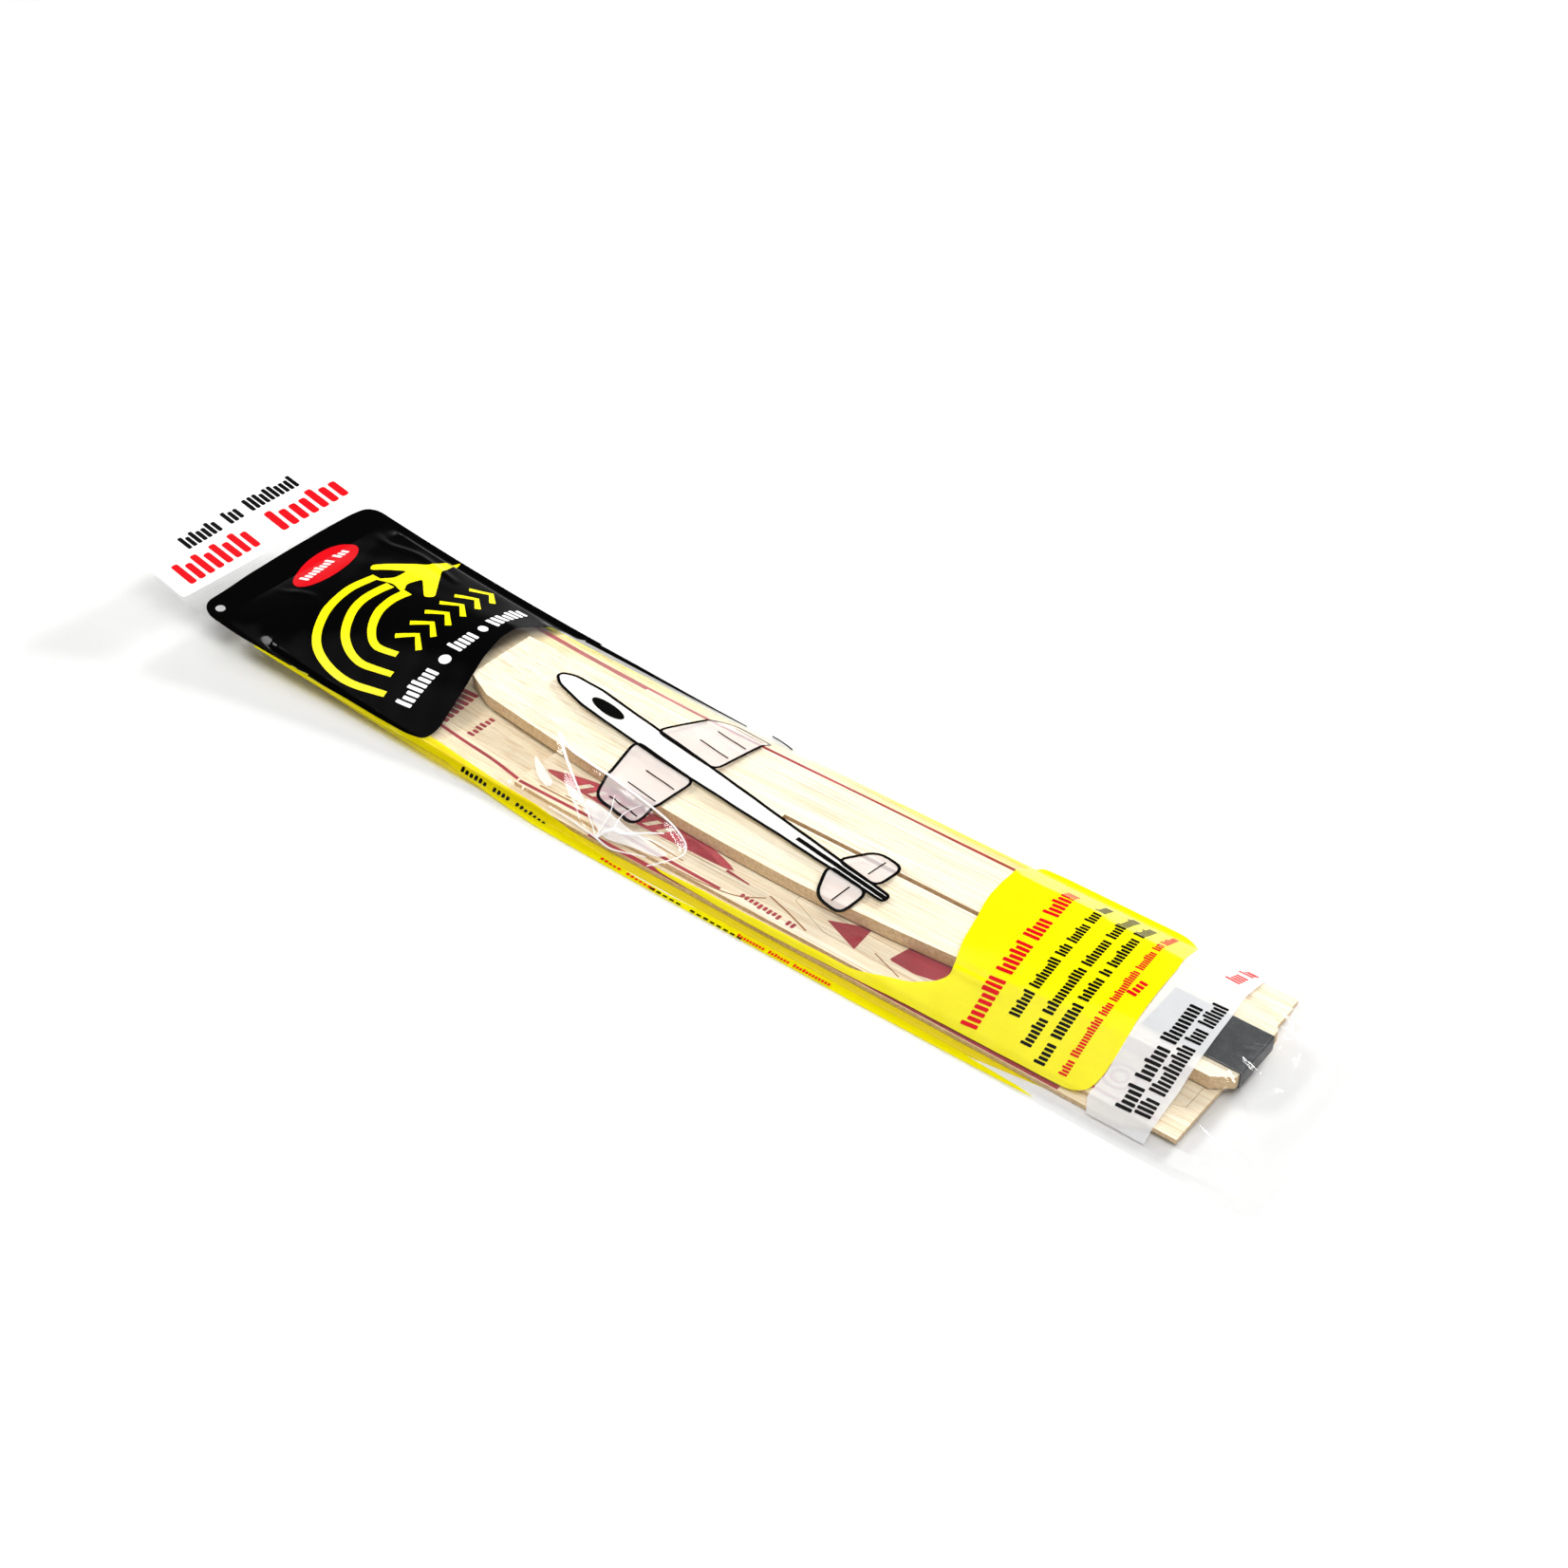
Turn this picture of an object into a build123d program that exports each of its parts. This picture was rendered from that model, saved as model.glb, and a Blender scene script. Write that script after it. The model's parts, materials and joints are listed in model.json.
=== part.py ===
"""Packaged balsa hand glider: a printed film bag holding flat, unassembled balsa pieces.

Origin at the middle of the pack's outline, on the surface it lies on. +X runs along the
pack towards the glider's nose weight, +Y across it, +Z up. The nose half of the pack lies
flat; from X = 0 towards -X everything follows one gentle upward bow of radius BOW_R.
Heights called "level" are measured from the underside of the bag, square to that bow.
All sizes are millimetres.
"""
import math
import os

from build123d import *

os.makedirs("parts", exist_ok=True)

# ---- pack ----
BAG_W = 88.9            # lay-flat width of the bag
NEAR_END = 237.5        # end of the bag beyond the nose weight
FOLD_X = -201.5         # where the empty header flap starts
BOW_R = 1267.0          # radius of the bow, centred above X = 0
BOW_DEG = 12.0          # arc swept by the bowed slabs, more than any piece needs

# ---- film ----
FILM_T = 0.2            # one thickness of film
FILM_GAP = 0.05         # between one loose layer and the next
WELD_W = 4.0            # welded margin down each side
VENT_R = 1.7            # vent hole through both films
VENT_X = -191.3
VENT_Y = -37.5

# ---- levels of the layers ----
BOARD_T = 1.6           # wing and die-cut sheet, 1/16 in stock
BODY_T = 4.76           # fuselage, 3/16 in stock
STRIP_T = 0.7           # nose weight metal
WING_Z = FILM_T + FILM_GAP
SHEET_Z = WING_Z + BOARD_T + FILM_GAP
LEG_Z = SHEET_Z + BOARD_T + FILM_GAP
BODY_Z = LEG_Z + STRIP_T + FILM_GAP
TOP_LEG_Z = BODY_Z + BODY_T + FILM_GAP
STACK_TOP = TOP_LEG_Z + STRIP_T + FILM_GAP

# ---- wing ----
WING_CHORD = 76.2
WING_FAR = -178.0
WING_NEAR = 206.2
TIP_CUT_X = 17.0        # corner taken off each wing tip
TIP_CUT_Y = 8.0

# ---- die-cut sheet and the pieces cut in it ----
SHEET_FAR = -48.0
SHEET_NEAR = 207.3
SHEET_LEFT = -34.6
SHEET_RIGHT = 32.4
KERF = 0.15             # die-cut line, each side of a piece

# ---- fuselage ----
BODY_FAR = -94.3
BODY_NEAR = 210.5
AXIS_Y = 3.0            # fuselage centre line, a little off the middle of the bag
SLOT_X0 = 37.0          # wing slot
SLOT_X1 = 115.0
SLOT_W = 1.7

# ---- nose weight ----
WEIGHT_W = 19.0
WEIGHT_L = 33.0

# ---- header flap ----
HEADER_DEG = 15.5       # lean of the flap above the horizontal
HEADER_R = 2.0          # its corner radius
HINGE_GAP = 0.8         # between the bag's end and the flap, room for it to swing
# The flap is as long as keeps the origin in the middle of the whole pack.
HEADER_L = (NEAR_END + FOLD_X - HINGE_GAP) / math.cos(math.radians(HEADER_DEG))

SLAB_W = 120.0          # across, wider than any piece
TALL = 60.0             # height of the plan prisms the slabs are cut with


def bow_point(x, level):
    """Point in the X-Z plane at plan position x on the surface `level` above the underside."""
    if x >= 0:
        return (x, level)
    r = BOW_R - level
    return (x, BOW_R - math.sqrt(r * r - x * x))


def bowed_slab(name, low, high):
    """Slab between two levels, flat for X > 0 and on the bow for X < 0."""
    with BuildPart() as slab:
        with BuildSketch(Plane.YZ):
            with Locations((0, (low + high) / 2)):
                Rectangle(SLAB_W, high - low)
        extrude(amount=NEAR_END + 10)
        with BuildSketch(Plane.YZ):
            with Locations((0, (low + high) / 2)):
                Rectangle(SLAB_W, high - low)
        revolve(axis=Axis((0, 0, BOW_R), (0, 1, 0)), revolution_arc=BOW_DEG)
    slab.part.label = name
    return slab.part


def cross_tent(name, points):
    """The Y-Z outline `points` carried along the flat half and round the bow."""
    with BuildPart() as tent:
        with BuildSketch(Plane.YZ):
            with BuildLine():
                Polyline(points, close=True)
            make_face()
        extrude(amount=NEAR_END + 10)
        with BuildSketch(Plane.YZ):
            with BuildLine():
                Polyline(points, close=True)
            make_face()
        revolve(axis=Axis((0, 0, BOW_R), (0, 1, 0)), revolution_arc=BOW_DEG)
    tent.part.label = name
    return tent.part


def long_outline(heights, inset):
    """Side outline of the bag's swollen part: `heights` are (x, level) stations."""
    top = []
    for (xa, la), (xb, lb) in zip(heights, heights[1:]):
        steps = max(1, round(abs(xb - xa) / 12))
        for i in range(steps):
            f = i / steps
            top.append(bow_point(xa + f * (xb - xa), la + f * (lb - la) - inset))
    top.append(bow_point(heights[-1][0], heights[-1][1] - inset))
    x_far = heights[0][0]
    x_near = heights[-1][0]
    return top + [(x_near, -TALL / 4), (x_far, -TALL / 4)]


# ================= wing: one flat balsa board =================
with BuildPart() as wing:
    with BuildSketch(Plane.XY.offset(-TALL / 2)):
        with Locations(((WING_FAR + WING_NEAR) / 2, 0)):
            Rectangle(WING_NEAR - WING_FAR, WING_CHORD)
        for x, sx in ((WING_NEAR, -1), (WING_FAR, 1)):
            with BuildLine():
                Polyline(
                    (x, -WING_CHORD / 2),
                    (x + sx * TIP_CUT_X, -WING_CHORD / 2),
                    (x, -WING_CHORD / 2 + TIP_CUT_Y),
                    close=True,
                )
            make_face(mode=Mode.SUBTRACT)
    extrude(amount=TALL)
    add(bowed_slab("wing_slab", WING_Z, WING_Z + BOARD_T), mode=Mode.INTERSECT)
wing.part.label = "wing"
export_step(wing.part, "parts/wing.step")

# ================= pieces die-cut in the thin sheet =================
TAILPLANE = [(62, -22), (78, -28.2), (187, -28.2), (203, -22), (203, 10), (160, 20), (105, 20), (62, 10)]
FIN = [(-6, 27), (-6, 4), (10, -6), (50, -6), (54, 27)]
CANOPY_X = (-44.0, 38.0)
CANOPY_Y = (-25.3, -15.0)


CANOPY_SILL = 2.0       # small corners at the ends of the straight sill


def canopy_outline():
    """Long lens: a straight sill and a low arched top."""
    x0, x1 = CANOPY_X
    y0, y1 = CANOPY_Y
    Line((x0, y0 + CANOPY_SILL), (x0 + CANOPY_SILL, y0))
    Line((x0 + CANOPY_SILL, y0), (x1 - CANOPY_SILL, y0))
    Line((x1 - CANOPY_SILL, y0), (x1, y0 + CANOPY_SILL))
    ThreePointArc((x1, y0 + CANOPY_SILL), ((x0 + x1) / 2, y1), (x0, y0 + CANOPY_SILL))


sheet_slab = bowed_slab("sheet_slab", SHEET_Z, SHEET_Z + BOARD_T)

with BuildPart() as tailplane:
    with BuildSketch(Plane.XY.offset(-TALL / 2)):
        with BuildLine():
            Polyline(TAILPLANE, close=True)
        make_face()
    extrude(amount=TALL)
    add(sheet_slab, mode=Mode.INTERSECT)
tailplane.part.label = "tailplane"
export_step(tailplane.part, "parts/tailplane.step")

with BuildPart() as fin:
    with BuildSketch(Plane.XY.offset(-TALL / 2)):
        with BuildLine():
            Polyline(FIN, close=True)
        make_face()
    extrude(amount=TALL)
    add(sheet_slab, mode=Mode.INTERSECT)
fin.part.label = "fin"
export_step(fin.part, "parts/fin.step")

with BuildPart() as canopy:
    with BuildSketch(Plane.XY.offset(-TALL / 2)):
        with BuildLine():
            canopy_outline()
        make_face()
    extrude(amount=TALL)
    add(sheet_slab, mode=Mode.INTERSECT)
canopy.part.label = "canopy"
export_step(canopy.part, "parts/canopy.step")

with BuildPart() as die_cut_sheet:
    with BuildSketch(Plane.XY.offset(-TALL / 2)) as sheet_plan:
        with Locations(((SHEET_FAR + SHEET_NEAR) / 2, (SHEET_LEFT + SHEET_RIGHT) / 2)):
            Rectangle(SHEET_NEAR - SHEET_FAR, SHEET_RIGHT - SHEET_LEFT)
    extrude(amount=TALL)
    for points in (TAILPLANE, FIN):
        with BuildSketch(Plane.XY.offset(-TALL / 2)):
            with BuildLine():
                Polyline(points, close=True)
            make_face()
            offset(amount=KERF)
        extrude(amount=TALL, mode=Mode.SUBTRACT)
    with BuildSketch(Plane.XY.offset(-TALL / 2)):
        with BuildLine():
            canopy_outline()
        make_face()
        offset(amount=KERF)
    extrude(amount=TALL, mode=Mode.SUBTRACT)
    add(sheet_slab, mode=Mode.INTERSECT)
die_cut_sheet.part.label = "die_cut_sheet"
export_step(die_cut_sheet.part, "parts/die_cut_sheet.step")

# ================= fuselage: one thick profile board =================
with BuildPart() as fuselage:
    with BuildSketch(Plane.XY.offset(-TALL / 2)):
        with BuildLine():
            Line((BODY_NEAR, AXIS_Y - 11), (BODY_NEAR, AXIS_Y + 13))
            Line((BODY_NEAR, AXIS_Y + 13), (BODY_NEAR - 4, AXIS_Y + 18))
            Spline(
                [
                    (BODY_NEAR - 4, AXIS_Y + 18),
                    (150, AXIS_Y + 22),
                    (60, AXIS_Y + 24),
                    (-30, AXIS_Y + 22.5),
                    (BODY_FAR, AXIS_Y + 19),
                ]
            )
            Line((BODY_FAR, AXIS_Y + 19), (BODY_FAR, AXIS_Y - 10))
            Line((BODY_FAR, AXIS_Y - 10), (BODY_FAR + 12, AXIS_Y - 15))
            Spline(
                [
                    (BODY_FAR + 12, AXIS_Y - 15),
                    (-10, AXIS_Y - 20.5),
                    (64, AXIS_Y - 23),
                    (119, AXIS_Y - 20),
                    (165, AXIS_Y - 16.6),
                    (BODY_NEAR - 6, AXIS_Y - 15.5),
                ]
            )
            Line((BODY_NEAR - 6, AXIS_Y - 15.5), (BODY_NEAR, AXIS_Y - 11))
        make_face()
        with Locations(((SLOT_X0 + SLOT_X1) / 2, AXIS_Y)):
            Rectangle(SLOT_X1 - SLOT_X0, SLOT_W, mode=Mode.SUBTRACT)
    extrude(amount=TALL)
    add(bowed_slab("body_slab", BODY_Z, BODY_Z + BODY_T), mode=Mode.INTERSECT)
fuselage.part.label = "fuselage"
export_step(fuselage.part, "parts/fuselage.step")

# ================= nose weight: metal strip folded over the nose =================
WEIGHT_FRONT = BODY_NEAR + FILM_GAP + STRIP_T
WEIGHT_BACK = WEIGHT_FRONT - WEIGHT_L
with BuildPart() as nose_weight:
    with BuildSketch(Plane.XZ.offset(-AXIS_Y)):
        with BuildLine():
            Polyline(
                (WEIGHT_BACK, LEG_Z),
                (WEIGHT_FRONT, LEG_Z),
                (WEIGHT_FRONT, TOP_LEG_Z + STRIP_T),
                (WEIGHT_BACK, TOP_LEG_Z + STRIP_T),
                (WEIGHT_BACK, TOP_LEG_Z),
                (WEIGHT_FRONT - STRIP_T, TOP_LEG_Z),
                (WEIGHT_FRONT - STRIP_T, LEG_Z + STRIP_T),
                (WEIGHT_BACK, LEG_Z + STRIP_T),
                close=True,
            )
        make_face()
    extrude(amount=WEIGHT_W / 2, both=True)
    outer_bends = nose_weight.edges().filter_by(Axis.Y).filter_by(
        lambda e: e.center().X > WEIGHT_FRONT - 0.01
    )
    fillet(outer_bends, STRIP_T * 0.9)
nose_weight.part.label = "nose_weight"
export_step(nose_weight.part, "parts/nose_weight.step")

# ================= bag: two webs of film welded together round the edge =================
BAG_MID = (FOLD_X + NEAR_END) / 2
BAG_LEN = NEAR_END - FOLD_X

with BuildPart() as bag_back_film:
    with BuildSketch(Plane.XY.offset(-TALL / 2)):
        with Locations((BAG_MID, 0)):
            Rectangle(BAG_LEN, BAG_W)
        with Locations((VENT_X, VENT_Y)):
            Circle(VENT_R, mode=Mode.SUBTRACT)
    extrude(amount=TALL)
    add(bowed_slab("back_slab", 0, FILM_T), mode=Mode.INTERSECT)
bag_back_film.part.label = "bag_back_film"
export_step(bag_back_film.part, "parts/bag_back_film.step")

# Swollen part of the front film, as (x, level) stations of its outside.
SWELL_TOP = STACK_TOP + FILM_T
SWELL = [(-187, 0.2), (-179.5, 3.4), (-142, 4.0), (-112, SWELL_TOP), (216, SWELL_TOP), (232, 0.2)]
END_STEP = 1.0          # the inside stops this far short of the outside at each end
EDGE_Y = BAG_W / 2 - WELD_W
SHOULDER_Y = 39.2
SHOULDER_Z = 3.9
RIDGE_LEFT = -20.5
RIDGE_RIGHT = 28.0
TENT_OUT = [
    (-EDGE_Y, 0),
    (-SHOULDER_Y, SHOULDER_Z),
    (RIDGE_LEFT, SWELL_TOP),
    (RIDGE_RIGHT, SWELL_TOP),
    (SHOULDER_Y, SHOULDER_Z),
    (EDGE_Y, 0),
]
TENT_IN = [
    (-EDGE_Y + FILM_T, 0),
    (-SHOULDER_Y + FILM_T, SHOULDER_Z - FILM_T),
    (RIDGE_LEFT, STACK_TOP),
    (RIDGE_RIGHT, STACK_TOP),
    (SHOULDER_Y - FILM_T, SHOULDER_Z - FILM_T),
    (EDGE_Y - FILM_T, 0),
]

with BuildPart() as swell_outside:
    with BuildSketch(Plane.XZ):
        with BuildLine():
            Polyline(long_outline(SWELL, 0), close=True)
        make_face()
    extrude(amount=SLAB_W / 2, both=True)
    add(cross_tent("tent_out", TENT_OUT), mode=Mode.INTERSECT)

SWELL_IN = list(SWELL)
SWELL_IN[0] = (SWELL[0][0] + END_STEP, SWELL[0][1])
SWELL_IN[-1] = (SWELL[-1][0] - END_STEP, SWELL[-1][1])
with BuildPart() as swell_inside:
    with BuildSketch(Plane.XZ):
        with BuildLine():
            Polyline(long_outline(SWELL_IN, FILM_T), close=True)
        make_face()
    extrude(amount=SLAB_W / 2, both=True)
    add(cross_tent("tent_in", TENT_IN), mode=Mode.INTERSECT)

with BuildPart() as bag_front_film:
    with BuildSketch(Plane.XY.offset(-TALL / 2)):
        with Locations((BAG_MID, 0)):
            Rectangle(BAG_LEN, BAG_W)
        with Locations((VENT_X, VENT_Y)):
            Circle(VENT_R, mode=Mode.SUBTRACT)
    extrude(amount=TALL)
    add(bowed_slab("front_slab", FILM_T, 2 * FILM_T), mode=Mode.INTERSECT)
    add(swell_outside.part)
    add(swell_inside.part, mode=Mode.SUBTRACT)
    add(bowed_slab("below", -20, FILM_T), mode=Mode.SUBTRACT)
bag_front_film.part.label = "bag_front_film"
export_step(bag_front_film.part, "parts/bag_front_film.step")

# ================= header flap: the empty end of the bag, leaning up =================
HINGE_Z = bow_point(FOLD_X, 0)[1]
with BuildPart() as header_flap:
    lean = math.radians(HEADER_DEG)
    flap_plane = Plane(
        origin=(FOLD_X - HINGE_GAP, 0, HINGE_Z),
        x_dir=(-math.cos(lean), 0, math.sin(lean)),
        z_dir=(math.sin(lean), 0, math.cos(lean)),
    )
    with BuildSketch(flap_plane) as flap_sketch:
        with Locations((HEADER_L / 2, 0)):
            Rectangle(HEADER_L, BAG_W)
        fillet(flap_sketch.vertices().sort_by(Axis.X)[:2], HEADER_R)
    extrude(amount=2 * FILM_T)
header_flap.part.label = "header_flap"
export_step(header_flap.part, "parts/header_flap.step")
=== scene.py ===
"""Looks for the packaged balsa hand glider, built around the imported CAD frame.

The bag's two films and its header are modelled as thin printed film: the front film is a
membrane relaxed over the balsa pieces, with creases added. Every print is a thin skin of
ink that follows the surface under it. The balsa pieces and the nose weight are the CAD's
own nodes with procedural materials.

Print, stamps and creases have no feature in the CAD. Their layouts are in millimetres in the
pack's plan (x along the pack, y across it), and everything built is in metres.
"""
import json
import math

import bpy
import numpy as np
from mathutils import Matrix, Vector
from mathutils.bvhtree import BVHTree
from mathutils.geometry import delaunay_2d_cdt


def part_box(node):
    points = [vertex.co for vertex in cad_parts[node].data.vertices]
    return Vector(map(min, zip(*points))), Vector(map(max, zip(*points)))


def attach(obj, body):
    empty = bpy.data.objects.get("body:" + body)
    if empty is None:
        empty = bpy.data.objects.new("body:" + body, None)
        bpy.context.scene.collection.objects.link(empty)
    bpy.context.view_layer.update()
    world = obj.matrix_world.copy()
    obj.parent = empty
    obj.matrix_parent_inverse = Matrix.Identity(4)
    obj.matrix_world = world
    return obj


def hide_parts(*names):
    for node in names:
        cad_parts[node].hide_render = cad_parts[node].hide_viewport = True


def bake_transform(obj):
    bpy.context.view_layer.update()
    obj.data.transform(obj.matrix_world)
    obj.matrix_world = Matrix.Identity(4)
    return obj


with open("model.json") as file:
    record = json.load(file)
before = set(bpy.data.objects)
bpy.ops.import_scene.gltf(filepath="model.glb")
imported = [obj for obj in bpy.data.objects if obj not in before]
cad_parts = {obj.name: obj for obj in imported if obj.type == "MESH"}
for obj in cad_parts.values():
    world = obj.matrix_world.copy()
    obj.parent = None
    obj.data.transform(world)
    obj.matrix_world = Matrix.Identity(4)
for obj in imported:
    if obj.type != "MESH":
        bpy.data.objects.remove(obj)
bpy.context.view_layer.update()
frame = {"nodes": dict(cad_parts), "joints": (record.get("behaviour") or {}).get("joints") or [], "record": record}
NODES = frame["nodes"]
BODIES = frame["record"]["behaviour"]["bodies"]
MM = 0.001

# ---------------------------------------------------------------- sizes from the frame
back_lo, back_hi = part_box("bag_back_film")
flap_lo, flap_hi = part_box("header_flap")
FAR_X, NEAR_X, HALF_W = back_lo.x, back_hi.x, back_hi.y
FILM_T = 0.2 * MM                       # the CAD's film, a stand-in for a much thinner one
WELD_W = 4 * MM                         # welded margin down each side
SKIN_T = 0.08 * MM                      # thickness the visible film is given
INK_T = 0.02 * MM
LIFT = 0.055 * MM                       # gap from a surface to the ink printed on it
VENT = (-191.3 * MM, -37.5 * MM, 1.7 * MM)
# The back film's far end lies on the bow, which gives the bow's radius.
BOW_R = (FAR_X ** 2 + back_hi.z ** 2 - FILM_T ** 2) / (2 * (back_hi.z - FILM_T))


def bow(x, level=0.0):
    """Height of the surface `level` above the bag's underside, at plan position x."""
    x = np.asarray(x, float)
    r = BOW_R - level
    return np.where(x >= 0, level, BOW_R - np.sqrt(r * r - np.minimum(x, 0) ** 2))


# ---------------------------------------------------------------- node graph helper
class Graph:
    """A material's node tree, with inputs given as values or as other nodes' sockets."""

    def __init__(self, name):
        self.mat = bpy.data.materials.new(name)
        self.mat.use_nodes = True
        self.tree = self.mat.node_tree
        self.tree.nodes.clear()

    def add(self, kind, out=0, props=None, **inputs):
        node = self.tree.nodes.new("ShaderNode" + kind)
        for key, value in (props or {}).items():
            setattr(node, key, value)
        for key, value in inputs.items():
            slot = int(key[1:]) if key[0] == "_" else key.replace("_", " ")
            if isinstance(value, bpy.types.NodeSocket):
                self.tree.links.new(value, node.inputs[slot])
            else:
                node.inputs[slot].default_value = value
        return node.outputs[out] if len(node.outputs) else node

    def math(self, op, a, b=0.0, clamp=False):
        return self.add("Math", props={"operation": op, "use_clamp": clamp}, _0=a, _1=b)

    def ramp(self, fac, *stops):
        node = self.tree.nodes.new("ShaderNodeValToRGB")
        self.tree.links.new(fac, node.inputs[0])
        while len(node.color_ramp.elements) < len(stops):
            node.color_ramp.elements.new(0.5)
        for element, (place, colour) in zip(node.color_ramp.elements, stops):
            element.position = place
            element.color = rgb(colour)
        return node.outputs[0]

    def mix(self, fac, a, b, blend="MIX"):
        node = self.tree.nodes.new("ShaderNodeMix")
        node.data_type = "RGBA"
        node.blend_type = blend
        for index, value in ((0, fac), (6, a), (7, b)):
            if isinstance(value, bpy.types.NodeSocket):
                self.tree.links.new(value, node.inputs[index])
            else:
                node.inputs[index].default_value = value
        return node.outputs[2]

    def coords(self, scale, offset=(0, 0, 0)):
        place = self.add("TexCoord", out=3)
        return self.add("Mapping", Vector=place, Scale=scale, Location=offset)

    def noise(self, scale, size=1.0, detail=3.0, rough=0.5, offset=(0, 0, 0)):
        return self.add("TexNoise", Vector=self.coords(scale, offset), Scale=size,
                        Detail=detail, Roughness=rough)

    def bump(self, height, strength, distance):
        return self.add("Bump", Height=height, Strength=strength, Distance=distance)

    def facing(self, amount):
        """The amount on the outside of a skin, and nothing where light leaves it from within."""
        outward = self.math("SUBTRACT", 1.0, self.add("NewGeometry", out="Backfacing"))
        return self.math("MULTIPLY", amount, outward)

    def finish(self, shader):
        self.add("OutputMaterial", Surface=shader)
        return self.mat


def rgb(colour):
    """A grey level, an RGB or an RGBA value as RGBA."""
    if isinstance(colour, (int, float)):
        colour = (colour,) * 3
    return tuple(colour) + (1.0,) * (4 - len(colour))


# ---------------------------------------------------------------- materials
def balsa(name, offset, pale, warm):
    """Sawn balsa: long pores and bands along X, cut edges a shade browner than the faces."""
    g = Graph(name)
    bands = g.noise((9, 260, 260), 1.0, 3, 0.55, offset)
    streaks = g.noise((22, 1500, 1500), 1.0, 4, 0.6, offset)
    pores = g.noise((160, 3600, 3600), 1.0, 2, 0.5, offset)
    blotch = g.noise((14, 40, 40), 1.0, 3, 0.5, offset)
    face = g.mix(g.ramp(bands, (0.35, 0), (0.68, 1)), rgb(pale), rgb(warm))
    face = g.mix(g.ramp(streaks, (0.49, 0), (0.68, 0.75)), face, rgb((0.62, 0.41, 0.21)))
    face = g.mix(g.ramp(pores, (0.60, 0), (0.75, 0.5)), face, rgb((0.52, 0.34, 0.18)))
    face = g.mix(g.ramp(blotch, (0.45, 0), (0.75, 0.22)), face, rgb((0.86, 0.68, 0.42)))
    up = g.add("SeparateXYZ", out=2, Vector=g.add("NewGeometry", out=1))
    side = g.ramp(g.math("ABSOLUTE", up), (0.35, 1), (0.8, 0))
    cells = g.noise((900, 900, 900), 1.0, 3, 0.6, offset)
    edge = g.mix(g.ramp(cells, (0.35, 0), (0.7, 1)), rgb((0.62, 0.42, 0.21)), rgb((0.80, 0.60, 0.36)))
    colour = g.mix(side, face, edge)
    relief = g.math("ADD", g.math("MULTIPLY", pores, 0.7), g.math("MULTIPLY", streaks, 0.5))
    rough = g.math("ADD", 0.62, g.math("MULTIPLY", pores, 0.2))
    skin = g.add("BsdfPrincipled", Base_Color=colour, Roughness=rough, Specular_IOR_Level=0.3,
                 Normal=g.bump(relief, 0.35, 0.00012))
    return g.finish(skin)


def wood_ink(name, colour, wear):
    """Ink stamped on balsa: it sits in the grain and misses some of the pores."""
    g = Graph(name)
    pores = g.noise((150, 3200, 3200), 1.0, 3, 0.6)
    patch = g.noise((60, 420, 420), 1.0, 4, 0.6)
    hold = g.math("ADD", g.math("MULTIPLY", pores, 0.55), g.math("MULTIPLY", patch, 0.45))
    cover = g.ramp(hold, (0.30, 1 - wear), (0.62, 0.97))
    shade = g.mix(g.ramp(patch, (0.3, 0), (0.75, 1)), rgb(colour), rgb([c * 1.5 + 0.03 for c in colour]))
    ink = g.add("BsdfPrincipled", Base_Color=shade, Roughness=0.6, Specular_IOR_Level=0.25,
                Normal=g.bump(pores, 0.3, 0.0001))
    return g.finish(g.add("MixShader", _0=g.facing(cover), _1=g.add("BsdfTransparent"), _2=ink))


def ripple(g, strength=0.08):
    """The fine orange-peel and handling marks of thin plastic film."""
    fine = g.noise((420, 420, 420), 1.0, 3, 0.55)
    drawn = g.noise((30, 700, 700), 1.0, 2, 0.5)
    return g.bump(g.math("ADD", fine, g.math("MULTIPLY", drawn, 0.6)), strength, 0.00006)


def clear_film(name, haze):
    """Clear film: see-through, glossy by Fresnel, with a trace of haze and scuffing."""
    g = Graph(name)
    normal = ripple(g)
    scuff = g.ramp(g.noise((90, 900, 900), 1.0, 5, 0.7), (0.55, 0), (0.8, 1))
    rough = g.math("ADD", 0.09, g.math("MULTIPLY", scuff, 0.08))
    gloss = g.add("BsdfGlossy", Color=rgb(1.0), Roughness=rough, Normal=normal)
    mist = g.add("BsdfDiffuse", Color=rgb(0.95))
    clear = g.add("MixShader", _0=g.math("ADD", haze, g.math("MULTIPLY", scuff, haze)),
                  _1=g.add("BsdfTransparent", Color=rgb(0.996)), _2=mist)
    shine = g.facing(g.math("MULTIPLY", g.add("Fresnel", IOR=1.45, Normal=normal), 0.6))
    return g.finish(g.add("MixShader", _0=shine, _1=clear, _2=gloss))


def film_ink_or_glare(name, colour, cover, rough=0.16, through=None, shine=0.5):
    """Printed ink, or painted glare, under a glossy skin; what it doesn't cover shows through tinted."""
    g = Graph(name)
    normal = ripple(g)
    mottle = g.noise((500, 500, 500), 1.0, 4, 0.6)
    shade = g.mix(g.ramp(mottle, (0.3, 0), (0.7, 1)), rgb(colour), rgb([c * 0.93 for c in colour]))
    scuff = g.ramp(g.noise((70, 1100, 1100), 1.0, 5, 0.7), (0.5, 0), (0.85, 1))
    scuffed = g.math("ADD", rough, g.math("MULTIPLY", scuff, 0.12))
    ink = g.add("BsdfPrincipled", Base_Color=shade, Roughness=scuffed, Normal=normal,
                Specular_IOR_Level=shine)
    if cover >= 1:
        return g.finish(ink)
    clear = g.add("BsdfTransparent", Color=rgb(through or colour))
    density = g.math("ADD", cover, g.math("MULTIPLY", g.math("SUBTRACT", mottle, 0.5), 0.06), clamp=True)
    return g.finish(g.add("MixShader", _0=g.facing(density), _1=clear, _2=ink))


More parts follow.
